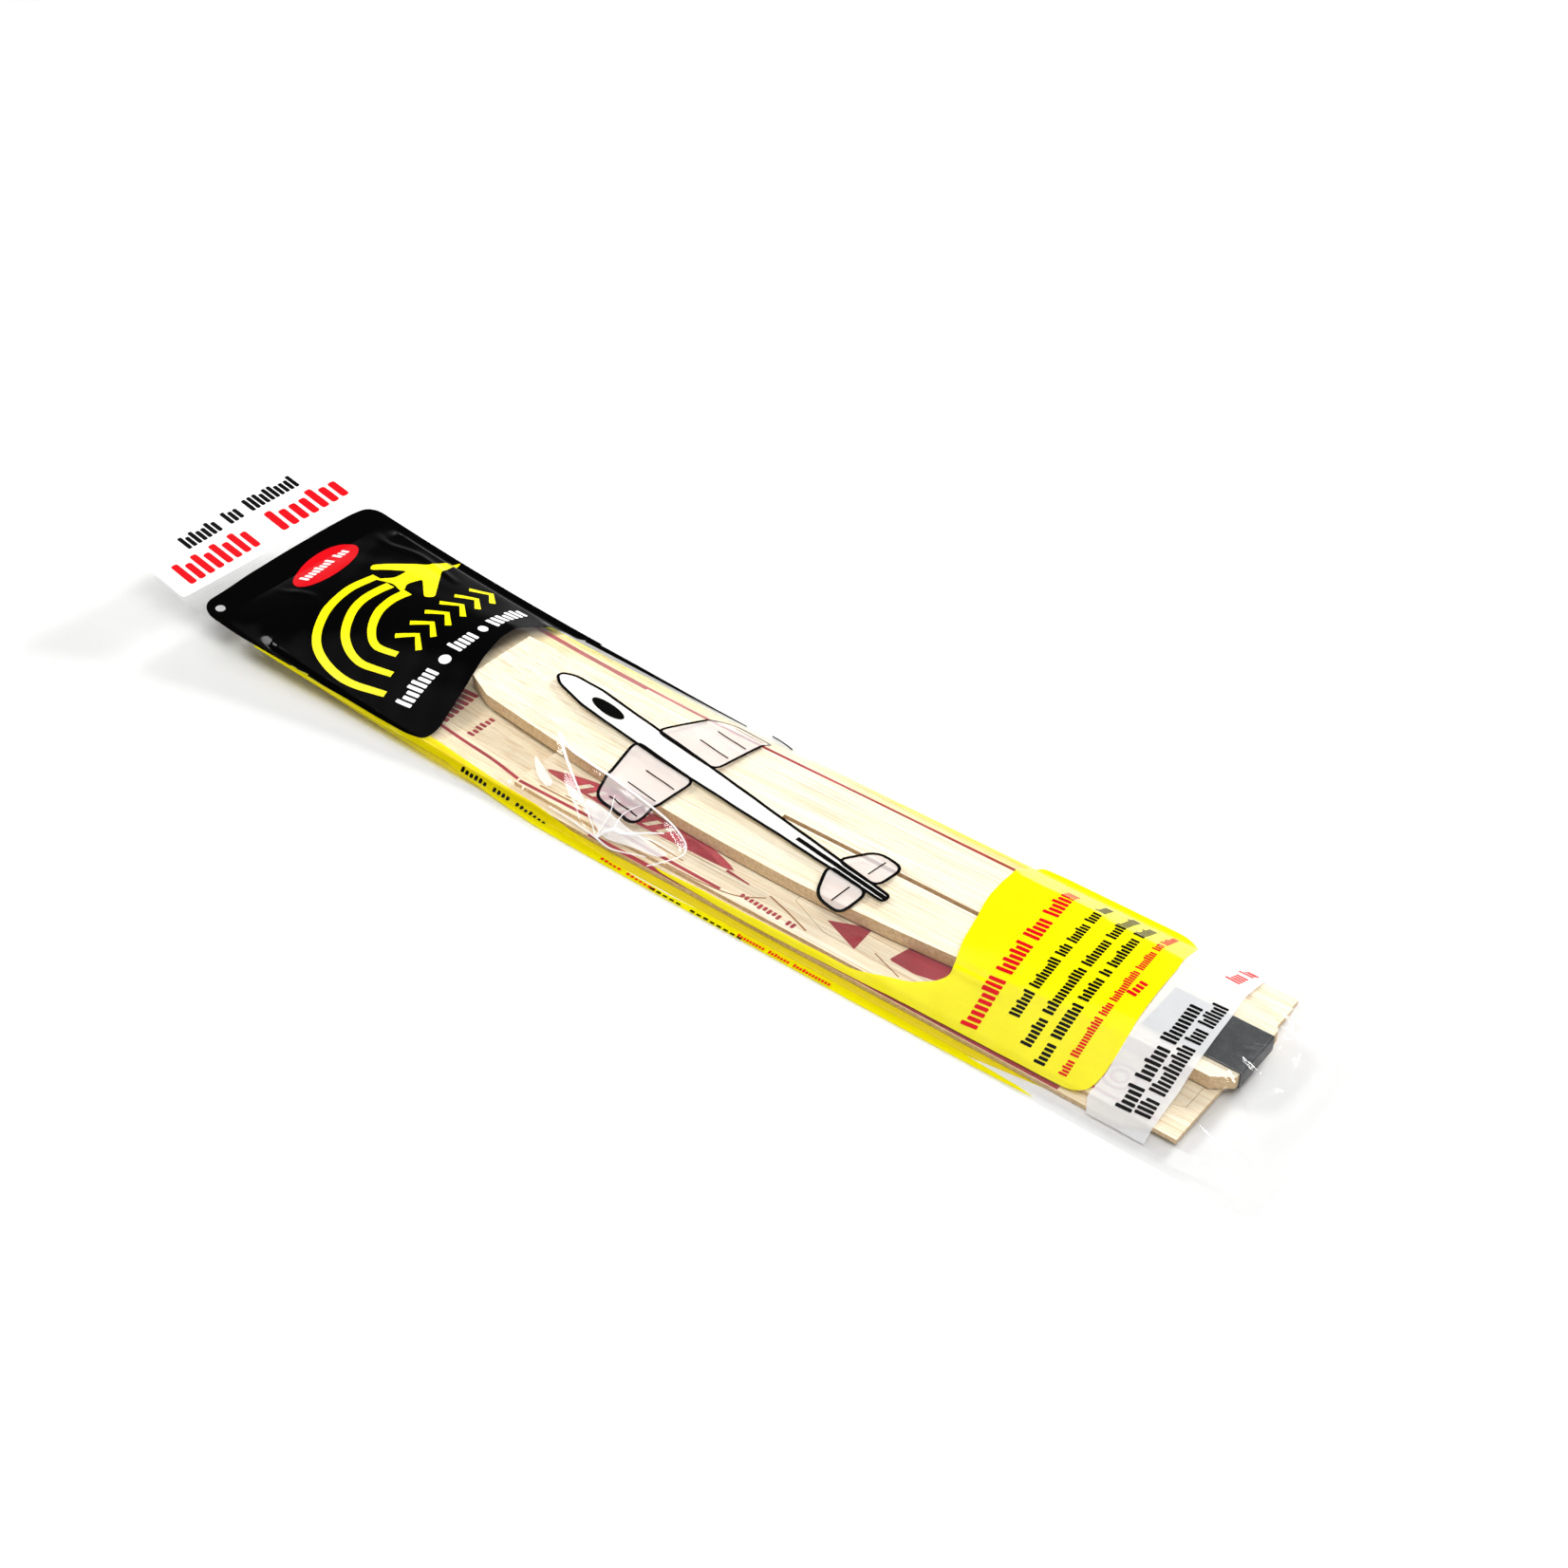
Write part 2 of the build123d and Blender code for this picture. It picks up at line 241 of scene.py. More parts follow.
def weight_metal():
    """Blackened steel strip: satin, finely brushed across, with bare worn edges."""
    g = Graph("weight_metal")
    brushed = g.noise((2600, 60, 900), 1.0, 4, 0.65)
    rub = g.noise((220, 220, 220), 1.0, 5, 0.65)
    scratch = g.ramp(g.noise((300, 5200, 300), 1.0, 2, 0.8), (0.66, 0), (0.72, 1))
    dark, light = rgb((0.022, 0.025, 0.027)), rgb((0.045, 0.050, 0.054))
    colour = g.mix(g.ramp(rub, (0.35, 0), (0.75, 1)), dark, light)
    colour = g.mix(g.math("MULTIPLY", scratch, 0.5), colour, rgb((0.25, 0.26, 0.27)))
    rounded = g.add("Bevel", props={"samples": 4}, Radius=0.0004)
    flat = g.add("NewGeometry", out=1)
    meet = g.add("VectorMath", out=1, props={"operation": "DOT_PRODUCT"}, _0=rounded, _1=flat)
    worn = g.ramp(meet, (0.86, 1), (0.995, 0))
    bare = g.math("MULTIPLY", worn, g.ramp(rub, (0.35, 0.3), (0.6, 1)))
    colour = g.mix(bare, colour, rgb((0.34, 0.35, 0.36)))
    relief = g.math("ADD", brushed, g.math("MULTIPLY", rub, 1.5))
    skin = g.add("BsdfPrincipled", Base_Color=colour, Metallic=0.55,
                 Roughness=g.math("ADD", 0.34, g.math("MULTIPLY", brushed, 0.18)),
                 Normal=g.bump(relief, 0.25, 0.00005))
    return g.finish(skin)


def floor_paper():
    """Matt white paper for the table."""
    g = Graph("floor_paper")
    tooth = g.noise((900, 900, 900), 1.0, 3, 0.6)
    skin = g.add("BsdfPrincipled", Base_Color=rgb((0.77, 0.77, 0.765)), Roughness=0.75,
                 Normal=g.bump(tooth, 0.05, 0.0001), Specular_IOR_Level=0.2)
    return g.finish(skin)


# ---------------------------------------------------------------- plan shapes
def smooth_line(points, step=2.0, closed=False):
    """A Catmull-Rom curve through the points, about `step` between its own points."""
    p = np.asarray(points, float)
    n = len(p)
    spans = n if closed else n - 1
    out = []
    for i in range(spans):
        pick = [(i + k) % n if closed else min(max(i + k, 0), n - 1) for k in (-1, 0, 1, 2)]
        a, b, c, d = p[pick]
        count = max(2, int(np.linalg.norm(c - b) / step) + 1)
        t = np.linspace(0, 1, count, endpoint=False)[:, None]
        out.append(0.5 * (2 * b + (c - a) * t + (2 * a - 5 * b + 4 * c - d) * t ** 2
                          + (3 * b - a - 3 * c + d) * t ** 3))
    if not closed:
        out.append(p[-1:])
    return np.vstack(out)


def stroke(points, width, end_width=None):
    """Outline of a pen stroke along the points, its width changing evenly to end_width."""
    p = np.asarray(points, float)
    end_width = width if end_width is None else end_width
    run = np.gradient(p, axis=0)
    run /= np.maximum(np.linalg.norm(run, axis=1, keepdims=True), 1e-9)
    side = np.stack([-run[:, 1], run[:, 0]], 1)
    half = np.linspace(width, end_width, len(p))[:, None] / 2
    return np.vstack([p + side * half, (p - side * half)[::-1]])


def rounded(corners, radius, steps=5):
    """A polygon with its corners rounded."""
    p = np.asarray(corners, float)
    out = []
    for i in range(len(p)):
        before, here, after = p[i - 1], p[i], p[(i + 1) % len(p)]
        a, b = before - here, after - here
        reach = min(radius, np.linalg.norm(a) / 2.01, np.linalg.norm(b) / 2.01)
        a, b = here + a / np.linalg.norm(a) * reach, here + b / np.linalg.norm(b) * reach
        t = np.linspace(0, 1, steps)[:, None]
        out.append((1 - t) ** 2 * a + 2 * t * (1 - t) * here + t ** 2 * b)
    return np.vstack(out)


def ellipse(centre, half_x, half_y, turn=0.0, count=40):
    """A closed ellipse, turned about its centre."""
    t = np.linspace(0, 2 * math.pi, count, endpoint=False)
    x, y = half_x * np.cos(t), half_y * np.sin(t)
    c, s = math.cos(turn), math.sin(turn)
    return np.stack([centre[0] + x * c - y * s, centre[1] + x * s + y * c], 1)


def dashes(start, end, height, words, rng, gap=0.5):
    """Stand-in for a line of print: upright dashes in word-length groups, with no letters."""
    start, end = np.asarray(start, float), np.asarray(end, float)
    run = end - start
    length = np.linalg.norm(run)
    run /= length
    rise = np.array([-run[1], run[0]])
    units = sum(n + gap * (n - 1) for n in words) + 2.2 * (len(words) - 1)
    unit = length / units
    out, at = [], 0.0
    for count in words:
        for k in range(count):
            tall = height * (1.0 if k == 0 or rng.random() < 0.3 else 0.8)
            a, b = start + run * at * unit, start + run * (at + 1) * unit
            corners = [a, b, b + rise * tall, a + rise * tall]
            out.append(rounded(corners, 0.3 * min(unit, tall), 3))
            at += 1 + gap
        at += 2.2 - gap
    return out


def inside(points, loops):
    """Even-odd test of points against closed loops."""
    x, y = points[:, 0], points[:, 1]
    hit = np.zeros(len(points), bool)
    for loop in loops:
        x0, y0 = loop[:, 0], loop[:, 1]
        x1, y1 = np.roll(x0, -1), np.roll(y0, -1)
        for i in range(len(loop)):
            crosses = (y0[i] > y) != (y1[i] > y)
            if not crosses.any():
                continue
            at = x0[i] + (y - y0[i]) * (x1[i] - x0[i]) / (y1[i] - y0[i] + 1e-30)
            hit ^= crosses & (x < at)
    return hit


def resample(loop, step):
    """The same closed loop with no edge longer than step."""
    out = []
    for a, b in zip(loop, np.roll(loop, -1, axis=0)):
        count = max(1, int(math.ceil(np.linalg.norm(b - a) / step)))
        out.append(a + (b - a) * (np.arange(count) / count)[:, None])
    return np.vstack(out)


def tessellate(outer, holes, step):
    """Triangles that fill a plan outline with holes, with inner points `step` apart."""
    loops = [resample(np.asarray(loop, float), step) for loop in [outer, *holes]]
    lo, hi = loops[0].min(0), loops[0].max(0)
    across, up = (np.arange(lo[k] + step / 2, hi[k], step) for k in (0, 1))
    gx, gy = np.meshgrid(across, up)
    grid = np.stack([gx.ravel(), gy.ravel()], 1)
    if len(grid):
        grid = grid[inside(grid, loops)]
    rim = np.vstack(loops)
    if len(grid):
        cells = {}
        for point in rim:
            cells.setdefault((int(point[0] // step), int(point[1] // step)), []).append(point)
        keep = []
        for point in grid:
            cx, cy = int(point[0] // step), int(point[1] // step)
            near = [q for i in (-1, 0, 1) for j in (-1, 0, 1) for q in cells.get((cx + i, cy + j), [])]
            if all((point[0] - q[0]) ** 2 + (point[1] - q[1]) ** 2 > (0.45 * step) ** 2 for q in near):
                keep.append(point)
        grid = np.array(keep).reshape(-1, 2)
    edges, first = [], 0
    for loop in loops:
        n = len(loop)
        edges += [(first + i, first + (i + 1) % n) for i in range(n)]
        first += n
    points = [Vector(p) for p in np.vstack([rim, grid])]
    flat, _, faces, *_ = delaunay_2d_cdt(points, edges, [], 0, 1e-5)
    flat = np.array([(v.x, v.y) for v in flat])
    faces = np.array(faces)
    centres = flat[faces].mean(1)
    faces = faces[inside(centres, loops)]
    a, b, c = flat[faces[:, 0]], flat[faces[:, 1]], flat[faces[:, 2]]
    area = (b[:, 0] - a[:, 0]) * (c[:, 1] - a[:, 1]) - (b[:, 1] - a[:, 1]) * (c[:, 0] - a[:, 0])
    faces = faces[np.abs(area) > 1e-7]
    used = np.unique(faces)
    remap = np.full(len(flat), -1)
    remap[used] = np.arange(len(used))
    return flat[used], remap[faces]


# ---------------------------------------------------------------- meshes
def add_object(name, verts, faces, mat, normals=None):
    """A smooth-shaded mesh object with one material."""
    mesh = bpy.data.meshes.new(name)
    mesh.from_pydata([tuple(v) for v in verts], [], [tuple(int(i) for i in f) for f in faces])
    mesh.polygons.foreach_set("use_smooth", [True] * len(mesh.polygons))
    mesh.validate()
    mesh.update()
    if normals is not None:
        mesh.normals_split_custom_set_from_vertices([tuple(n) for n in normals])
    mesh.materials.append(mat)
    obj = bpy.data.objects.new(name, mesh)
    bpy.context.scene.collection.objects.link(obj)
    return obj


def skin(name, plan, faces, surface, lift, thick, mat):
    """A thin closed skin over a surface: the plan's triangles, `lift` above it and `thick` deep."""
    z, n = surface(plan[:, 0], plan[:, 1])
    place = np.column_stack([plan, z])
    top, low = place + n * (lift + thick), place + n * lift
    count = len(place)
    sides = np.sort(np.vstack([faces[:, [0, 1]], faces[:, [1, 2]], faces[:, [2, 0]]]), axis=1)
    loops = np.vstack([faces[:, [0, 1]], faces[:, [1, 2]], faces[:, [2, 0]]])
    _, index, times = np.unique(sides, axis=0, return_inverse=True, return_counts=True)
    rim = loops[times[index.ravel()] == 1]
    walls = np.column_stack([rim[:, 1], rim[:, 0], rim[:, 0] + count, rim[:, 1] + count])
    polygons = [*faces, *(faces[:, ::-1] + count), *walls]
    return add_object(name, np.vstack([top, low]), polygons, mat, np.vstack([n, -n]))


def decal(name, shapes, surface, layer, mat, body, step=1.2, thick=INK_T):
    """One piece of ink or of painted glare: plan shapes in mm, each an outline or (outline, holes), over a
    surface.

    It rides on the body when one is given; when that is None it stays where it is built.
    """
    plans, fills, first = [], [], 0
    for shape in shapes:
        outer, holes = shape if isinstance(shape, tuple) else (shape, [])
        plan, faces = tessellate(outer, holes, step)
        if len(faces) == 0:
            continue
        turn = plan[faces]
        cross = np.cross(np.diff(turn[:, :2], axis=1)[:, 0], turn[:, 2] - turn[:, 1])
        faces[cross < 0] = faces[cross < 0][:, ::-1]
        plans.append(plan * MM)
        fills.append(faces + first)
        first += len(plan)
    lift = LIFT + layer * (LIFT + INK_T)
    obj = skin(name, np.vstack(plans), np.vstack(fills), surface, lift, thick, mat)
    if body:
        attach(obj, body)
    return obj


def level_surface(level):
    """The bowed surface at a level, as heights and normals."""
    def surface(x, y):
        lean = np.where(x < 0, -x / (BOW_R - level), 0.0)
        n = np.stack([lean, np.zeros_like(x), np.ones_like(x)], 1)
        return bow(x, level), n / np.linalg.norm(n, axis=1, keepdims=True)
    return surface


# ---------------------------------------------------------------- front film: the relaxed membrane
GRID = 1.0 * MM
SKY, DOWN = 0.1, Vector((0, 0, -1))
CLEAR = 0.15 * MM                       # film stays this far off what it lies on
FLAT_FAR = -0.187                       # flat, empty film from here to the fold
RIM_LEVEL = 0.3 * MM                    # height at which the welds hold the film
RELAX_STEPS = 2600
gx = np.linspace(FAR_X, NEAR_X, int(round((NEAR_X - FAR_X) / GRID)) + 1)
gy = np.linspace(-HALF_W, HALF_W, int(round(2 * HALF_W / GRID)) + 1)


def tree_of(name):
    """A CAD node's mesh, ready for ray casts."""
    mesh = NODES[name].data
    return BVHTree.FromPolygons([v.co for v in mesh.vertices], [list(p.vertices) for p in mesh.polygons])


def node_top(tree, x, y):
    """Height of a node's top at a plan point, or -1 where the node isn't there."""
    hit = tree.ray_cast(Vector((x, y, SKY)), DOWN)[0]
    return -1.0 if hit is None else hit.z


def contents_top():
    """Highest point of the bag's contents over the grid, wherever its joints slide them."""
    top = np.full((len(gx), len(gy)), -1.0)
    slides = {j["child"]: j for j in frame["joints"] if j["type"] == "slide"}
    for body, members in BODIES.items():
        travel = (0.0,)
        if body in slides:
            low, high = slides[body]["range_m"]
            travel = sorted({low, low / 2, 0.0, high})
        for name in members:
            if "film" in name or "header" in name:
                continue
            tree = tree_of(name)
            lo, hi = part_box(name)
            for shift in travel:
                for i in np.where((gx >= lo.x + shift - GRID) & (gx <= hi.x + shift + GRID))[0]:
                    for j in np.where((gy >= lo.y - GRID) & (gy <= hi.y + GRID))[0]:
                        top[i, j] = max(top[i, j], node_top(tree, gx[i] - shift, gy[j]))
    return top


def spread(field):
    """Each cell takes the highest of its neighbours, so the film clears sharp edges."""
    wide = field.copy()
    for di in (-1, 0, 1):
        for dj in (-1, 0, 1):
            wide = np.maximum(wide, np.roll(np.roll(field, di, 0), dj, 1))
    return wide


def relax():
    """Heights above the bow of the slack membrane that lies over the contents."""
    floor = np.maximum(spread(contents_top()) - bow(gx)[:, None] + CLEAR, RIM_LEVEL)
    held = np.zeros(floor.shape, bool)
    held[:, np.abs(gy) > HALF_W - WELD_W] = True
    held[gx > NEAR_X - 5 * MM] = True
    held[gx < FLAT_FAR] = True
    floor[held] = RIM_LEVEL
    x, y = np.meshgrid(gx / MM, gy / MM, indexing="ij")
    air = 0.0012 * MM + 0.006 * MM * np.exp(-((x - 5) / 60) ** 2 - ((y + 32) / 9) ** 2)
    air += 0.004 * MM * np.exp(-((x + 140) / 40) ** 2 - (y / 25) ** 2)
    height = floor.copy()
    for _ in range(RELAX_STEPS):
        mean = 0.25 * (np.roll(height, 1, 0) + np.roll(height, -1, 0)
                       + np.roll(height, 1, 1) + np.roll(height, -1, 1))
        height = np.where(held, RIM_LEVEL, np.maximum(floor, mean + air))
    kernel = np.exp(-0.5 * (np.arange(-2, 3) / 0.8) ** 2)
    kernel /= kernel.sum()
    soft = height.copy()
    for axis in (0, 1):
        soft = sum(k * np.roll(soft, s, axis) for k, s in zip(kernel, range(-2, 3)))
    soft[held] = RIM_LEVEL
    return np.maximum(soft, floor)


membrane = relax()


def cubic(field, x, y):
    """Catmull-Rom reading of the grid at any points."""
    u = np.clip((x - gx[0]) / (gx[1] - gx[0]), 0, len(gx) - 1.001)
    v = np.clip((y - gy[0]) / (gy[1] - gy[0]), 0, len(gy) - 1.001)
    i, j = u.astype(int), v.astype(int)
    fu, fv = u - i, v - j

    def weights(t):
        """Catmull-Rom weights of the four samples round a point."""
        return (0.5 * (-t + 2 * t ** 2 - t ** 3), 0.5 * (2 - 5 * t ** 2 + 3 * t ** 3),
                0.5 * (t + 4 * t ** 2 - 3 * t ** 3), 0.5 * (-t ** 2 + t ** 3))

    total = 0.0
    for a, wa in zip((-1, 0, 1, 2), weights(fu)):
        row = np.clip(i + a, 0, len(gx) - 1)
        for b, wb in zip((-1, 0, 1, 2), weights(fv)):
            total = total + wa * wb * field[row, np.clip(j + b, 0, len(gy) - 1)]
    return total


def from_path(x, y, path):
    """Distance in mm from points to a polyline, and how far along it the nearest place is."""
    best = np.full(x.shape, 1e9)
    share = np.zeros(x.shape)
    path = np.asarray(path, float)
    for k, (a, b) in enumerate(zip(path, path[1:])):
        run = b - a
        t = np.clip(((x - a[0]) * run[0] + (y - a[1]) * run[1]) / max(run @ run, 1e-9), 0, 1)
        d = np.hypot(x - a[0] - t * run[0], y - a[1] - t * run[1])
        nearer = d < best
        best = np.where(nearer, d, best)
        share = np.where(nearer, (k + t) / (len(path) - 1), share)
    return best, share


# Creases pressed into the film: path in plan mm, half width and height in mm. The window's come first.
CREASES = [
    ([(-48, -12), (-37.6, -19.7), (-27, -26.5), (-16, -32.8), (-8, -38)], 2.0, 0.8),
    ([(-48, -12), (-40, -15.7), (-28, -17.2), (-15, -18.6), (2, -21.3), (12, -23.3), (21, -27), (23, -30.6),
      (18, -35.4), (14, -38)], 1.7, 0.8),
    ([(-8, -38), (-5, -34), (1, -33), (12, -27)], 0.9, 0.6),
    ([(-8, -38), (-9, -30), (-13, -23)], 0.9, 0.5),
    ([(-8, -38), (0, -38.5), (12, -36)], 0.8, 0.5),
    ([(-8, -38), (-18, -37), (-30, -36.5)], 0.8, 0.4),
    ([(-4, -34), (-5, -28), (-2, -22)], 0.8, 0.4),
    ([(1, -33), (10, -31), (20, -31)], 0.8, 0.4),
    ([(86, -21.8), (93.4, -18.8), (102, -15.6), (116, -12.7)], 1.2, 0.6),
    ([(88, -30), (100, -24), (118, -21.5), (140, -21)], 1.2, 0.5),
    ([(206, -2), (216, -5), (230, -3)], 1.0, 0.8),
    ([(207, 4), (218, 8), (232, 10)], 1.0, 0.7),
    ([(207, 12), (216, 17), (228, 20)], 0.9, 0.7),
    ([(204, 22), (214, 25), (228, 30)], 1.0, 0.6),
    ([(206, -8), (214, -14), (226, -21)], 1.0, 0.8),
    ([(209, 0), (214, 7), (213, 16)], 0.9, 0.6),
    ([(219, -12), (223, -1), (220, 13)], 1.0, 0.7),
    ([(205, -26), (214, -29), (226, -29)], 0.9, 0.5),
    ([(226, -14), (229, -2), (227, 8), (229, 22)], 0.9, 0.5),
    ([(-100, 36), (-84, 33), (-70, 35), (-58, 34)], 1.3, 0.5),
    ([(-196, -12), (-184, -16), (-170, -13), (-158, -17)], 1.6, 0.35),
    ([(-190, 36), (-176, 30), (-160, 33), (-140, 30)], 1.6, 0.5),
]
WINDOW_CREASES = CREASES[:8]


def film_height(x, y):
    """Height of the front film's underside at plan points in metres."""
    h = cubic(membrane, x, y)
    xm, ym = x / MM, y / MM
    free = np.clip((HALF_W / MM - 4.2 - np.abs(ym)) / 4, 0, 1)
    free = free * np.clip((NEAR_X / MM - 4 - xm) / 6, 0, 1) * np.clip((xm - FLAT_FAR / MM) / 10, 0, 1)
    for path, width, height in CREASES:
        line = smooth_line(path, 1.0)
        lo, hi = line.min(0) - 4 * width, line.max(0) + 4 * width
        near = (xm > lo[0]) & (xm < hi[0]) & (ym > lo[1]) & (ym < hi[1])
        if not near.any():
            continue
        d, share = from_path(xm[near], ym[near], line)
        fade = np.clip(4 * np.minimum(share + 0.08, 1.08 - share), 0, 1)
        bump = np.zeros(xm.shape)
        bump[near] = height * fade * np.exp(-(d / width) ** 2)
        h = h + bump * free * MM
    slack = 0.5 + 0.5 * np.sin(xm * 0.21 + 1.3 * np.sin(ym * 0.17)) * np.cos(ym * 0.23 + 0.05 * xm)
    slack += 0.35 * (0.5 + 0.5 * np.sin(xm * 0.53 + ym * 0.31 + 0.7 * np.sin(xm * 0.11)))
    return h + 0.22 * MM * slack * free


def film_surface(x, y):
    """Top of the front film, as heights and normals."""
    e = 0.25 * MM
    z = bow(x) + film_height(x, y)
    dx = (bow(x + e) + film_height(x + e, y) - bow(x - e) - film_height(x - e, y)) / (2 * e)
    dy = (film_height(x, y + e) - film_height(x, y - e)) / (2 * e)
    n = np.stack([-dx, -dy, np.ones_like(dx)], 1)
    n /= np.linalg.norm(n, axis=1, keepdims=True)
    return z + SKIN_T, n


def grid_plan(xs, ys, hole=None):
    """Triangulated plan grid; points near the hole's rim move onto it and those inside go."""
    x, y = np.meshgrid(xs, ys, indexing="ij")
    plan = np.stack([x.ravel(), y.ravel()], 1)
    nx, ny = len(xs), len(ys)
    index = np.arange(nx * ny).reshape(nx, ny)
    a, b = index[:-1, :-1].ravel(), index[1:, :-1].ravel()
    c, d = index[1:, 1:].ravel(), index[:-1, 1:].ravel()
    faces = np.vstack([np.stack([a, b, c], 1), np.stack([a, c, d], 1)])
    if hole:
        away = plan - np.array(hole[:2])
        far = np.linalg.norm(away, axis=1)
        near = far < hole[2] + 0.45 * (xs[1] - xs[0])
        plan[near] = np.array(hole[:2]) + away[near] / np.maximum(far[near, None], 1e-9) * hole[2]
        faces = faces[~near[faces].all(1)]
    used = np.unique(faces)
    remap = np.full(len(plan), -1)
    remap[used] = np.arange(len(used))
    return plan[used], remap[faces]


def lines(stops):
    """Grid lines from (position, spacing) stops, in mm, as metres."""
    out = []
    for (a, step), (b, _) in zip(stops, stops[1:]):
        out.append(np.linspace(a, b, max(1, int(round((b - a) / step))), endpoint=False))
    return np.append(np.concatenate(out), stops[-1][0]) * MM


film_x = lines([(FAR_X / MM, 0.7), (-180, 1.3), (-54, 0.45), (28, 1.2), (84, 0.7), (120, 1.3), (200, 0.6),
                (NEAR_X / MM, 1)])
film_y = lines([(-HALF_W / MM, 0.5), (-10, 1.2), (26, 0.8), (HALF_W / MM, 1)])
plan, faces = grid_plan(film_x, film_y, VENT)
front = skin("front_film", plan, faces, film_surface, -SKIN_T, SKIN_T, clear_film("film_clear", 0.006))
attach(front, "bag")
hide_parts("bag_front_film")

plan, faces = grid_plan(lines([(FAR_X / MM, 0.7), (-180, 3), (NEAR_X / MM, 1)]),
                        lines([(-HALF_W / MM, 0.7), (-30, 2), (30, 0.7), (HALF_W / MM, 1)]), VENT)
back_level = 0.02 * MM
back = skin("back_film", plan, faces, level_surface(back_level), 0.0, SKIN_T,
            clear_film("film_back_clear", 0.004))
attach(back, "bag")
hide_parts("bag_back_film")

# ---------------------------------------------------------------- header flap
LEAN = math.atan2(flap_hi.z - flap_lo.z - FILM_T, flap_hi.x - flap_lo.x)
FOLD_Z = float(bow(FAR_X, 0.15 * MM))


def flap_surface(x, y):
    """Top of the header: it leaves the bag along the bow and soon takes its own lean."""
    out = FAR_X - x
    bow_slope = math.tan(math.asin(-FAR_X / BOW_R))
    wave = 0.25 * MM * np.sin(y / MM * 0.11 + 0.6) * np.clip(out / (20 * MM), 0, 1) ** 2
    turn = 3 * MM
    part = np.clip(out, 0, turn)
    z = FOLD_Z + bow_slope * part + (math.tan(LEAN) - bow_slope) * part ** 2 / (2 * turn)
    z = z + math.tan(LEAN) * np.maximum(out - turn, 0) + wave
    slope = np.where(out < turn, bow_slope + (math.tan(LEAN) - bow_slope) * part / turn, math.tan(LEAN))
    n = np.stack([slope, -0.0275 * np.cos(y / MM * 0.11 + 0.6) * np.clip(out / (20 * MM), 0, 1) ** 2,
                  np.ones_like(x)], 1)
    return z, n / np.linalg.norm(n, axis=1, keepdims=True)


flap_end = flap_lo.x / MM
fold = FAR_X / MM
half = HALF_W / MM
flap_outline = np.vstack([
    [(fold, -half), (fold, half)],
    rounded([(flap_end + 6, half), (flap_end, half), (flap_end, half - 6)], 2)[5:10],
    rounded([(flap_end, 6 - half), (flap_end, -half), (flap_end + 6, -half)], 2)[5:10],
])


def flap_piece(name, shapes, layer, mat, step=1.5, thick=INK_T):
    """A piece of the header, or ink on it, bent over the fold in one fixed shape."""
    obj = decal(name, shapes, flap_surface, layer, mat, None, step, thick)
    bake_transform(obj)
    return obj


# ---------------------------------------------------------------- build: materials on the CAD nodes
# Each board's place in the grain pattern, its pale colour and its warm one.
SHEET_WOOD = ((2.1, 0.4, 1.2), (0.92, 0.84, 0.66), (0.86, 0.73, 0.51))
WOODS = {
    "wing": ((0.3, 1.7, 0.2), (0.90, 0.80, 0.59), (0.83, 0.68, 0.45)),
    "die_cut_sheet": SHEET_WOOD,
    "tailplane": SHEET_WOOD,
    "fin": SHEET_WOOD,
    "canopy": SHEET_WOOD,
    "fuselage": ((4.6, 3.1, 2.2), (0.94, 0.89, 0.73), (0.89, 0.79, 0.58)),
}
for node, (offset, pale, warm) in WOODS.items():
    NODES[node].data.materials.clear()
    NODES[node].data.materials.append(balsa(node + "_balsa", offset, pale, warm))
NODES["nose_weight"].data.materials.clear()
NODES["nose_weight"].data.materials.append(weight_metal())

# ---------------------------------------------------------------- build: film prints
BLACK = film_ink_or_glare("ink_black", (0.001, 0.001, 0.0012), 1.0, 0.10, shine=0.06)
MARK = film_ink_or_glare("ink_mark", (0.002, 0.002, 0.002), 1.0, 0.2, shine=0.12)
YELLOW = film_ink_or_glare("ink_yellow", (1.0, 0.91, 0.0), 0.80, 0.12, (1.0, 0.96, 0.06))
PALE_YELLOW = film_ink_or_glare("ink_pale_yellow", (1.0, 0.93, 0.02), 0.26, 0.15, (1.0, 0.98, 0.5))
MARGIN_YELLOW = film_ink_or_glare("ink_margin_yellow", (1.0, 0.93, 0.0), 0.45, 0.15, (1.0, 0.95, 0.12))
BACK_YELLOW = film_ink_or_glare("ink_back_yellow", (1.0, 0.93, 0.0), 0.35, 0.2, (1.0, 0.92, 0.12))
# The next two are painted highlights: white see-through skins that stand in for glare on the window's creases.
PAINTED_GLINT = film_ink_or_glare("painted_glint", (1.0, 1.0, 1.0), 0.8, 0.3, (1.0, 1.0, 1.0))
PAINTED_GLARE = film_ink_or_glare("painted_glare_patches", (1.0, 1.0, 1.0), 0.6, 0.35, (1.0, 1.0, 1.0))
TITLE = film_ink_or_glare("ink_title", (1.0, 0.90, 0.0), 1.0, 0.2)
WHITE = film_ink_or_glare("ink_white", (0.96, 0.97, 0.98), 0.62, 0.2, (0.96, 0.96, 0.97))
ART_WHITE = film_ink_or_glare("ink_art_white", (0.93, 0.93, 0.93), 0.78, 0.2, (0.97, 0.97, 0.97))
WING_WHITE = film_ink_or_glare("ink_wing_white", (0.95, 0.93, 0.95), 0.42, 0.2, (0.98, 0.96, 0.98))
DOT_WHITE = film_ink_or_glare("ink_dot_white", (0.93, 0.93, 0.93), 1.0, 0.2)
RED = film_ink_or_glare("ink_red", (0.66, 0.003, 0.008), 1.0, 0.2, shine=0.15)
FLAP_WHITE = film_ink_or_glare("ink_flap_white", (0.94, 0.94, 0.94), 0.96, 0.22, (0.97, 0.97, 0.97))

rng = np.random.default_rng(7)

